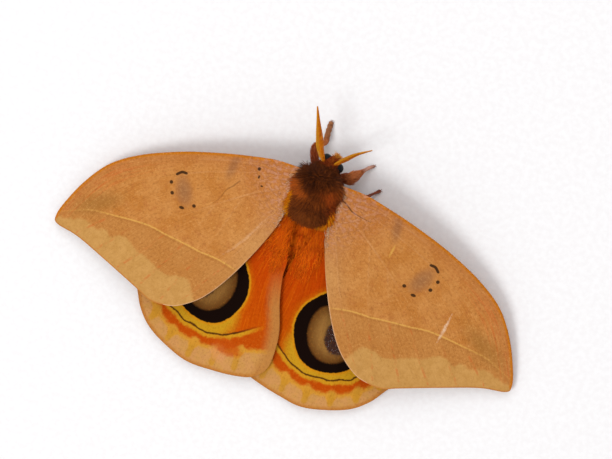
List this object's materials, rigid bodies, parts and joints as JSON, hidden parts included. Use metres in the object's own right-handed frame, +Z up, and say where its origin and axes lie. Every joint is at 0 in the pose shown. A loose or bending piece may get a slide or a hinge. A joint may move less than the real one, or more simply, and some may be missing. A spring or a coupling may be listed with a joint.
{
  "type": "moth model",
  "caption": "Life-size still model of a spread-winged eyespot moth, furry body, feathered feelers, resting on its feet.",
  "frame": {"origin": "on the floor, at the centre of the model's outline box", "axes": "+X to the moth's right along the wing span, +Y towards its head, +Z up"},
  "size_m": [0.1036, 0.0621, 0.0132],
  "materials": {
    "forewing": "matte scales, tan with an ochre edge band",
    "hindwing": "matte scales, orange with a black-ringed eyespot",
    "thorax_fur": "dense dark brown fur",
    "abdomen_fur": "short orange-brown fur",
    "head_fur": "short red-brown fur",
    "eye": "glossy blue-black",
    "antenna": "satin ochre",
    "leg": "scaly red-brown"
  },
  "bodies": {
    "root": {"thorax": "thorax_fur", "abdomen": "abdomen_fur", "head": "head_fur", "eye_left": "eye", "eye_right": "eye", "antenna_left": "antenna", "antenna_right": "antenna", "forewing_left": "forewing", "forewing_right": "forewing", "hindwing_left": "hindwing", "hindwing_right": "hindwing", "leg_fore_left": "leg", "leg_fore_right": "leg", "leg_mid_left": "leg", "leg_mid_right": "leg", "leg_hind_left": "leg", "leg_hind_right": "leg"}
  },
  "joints": []
}
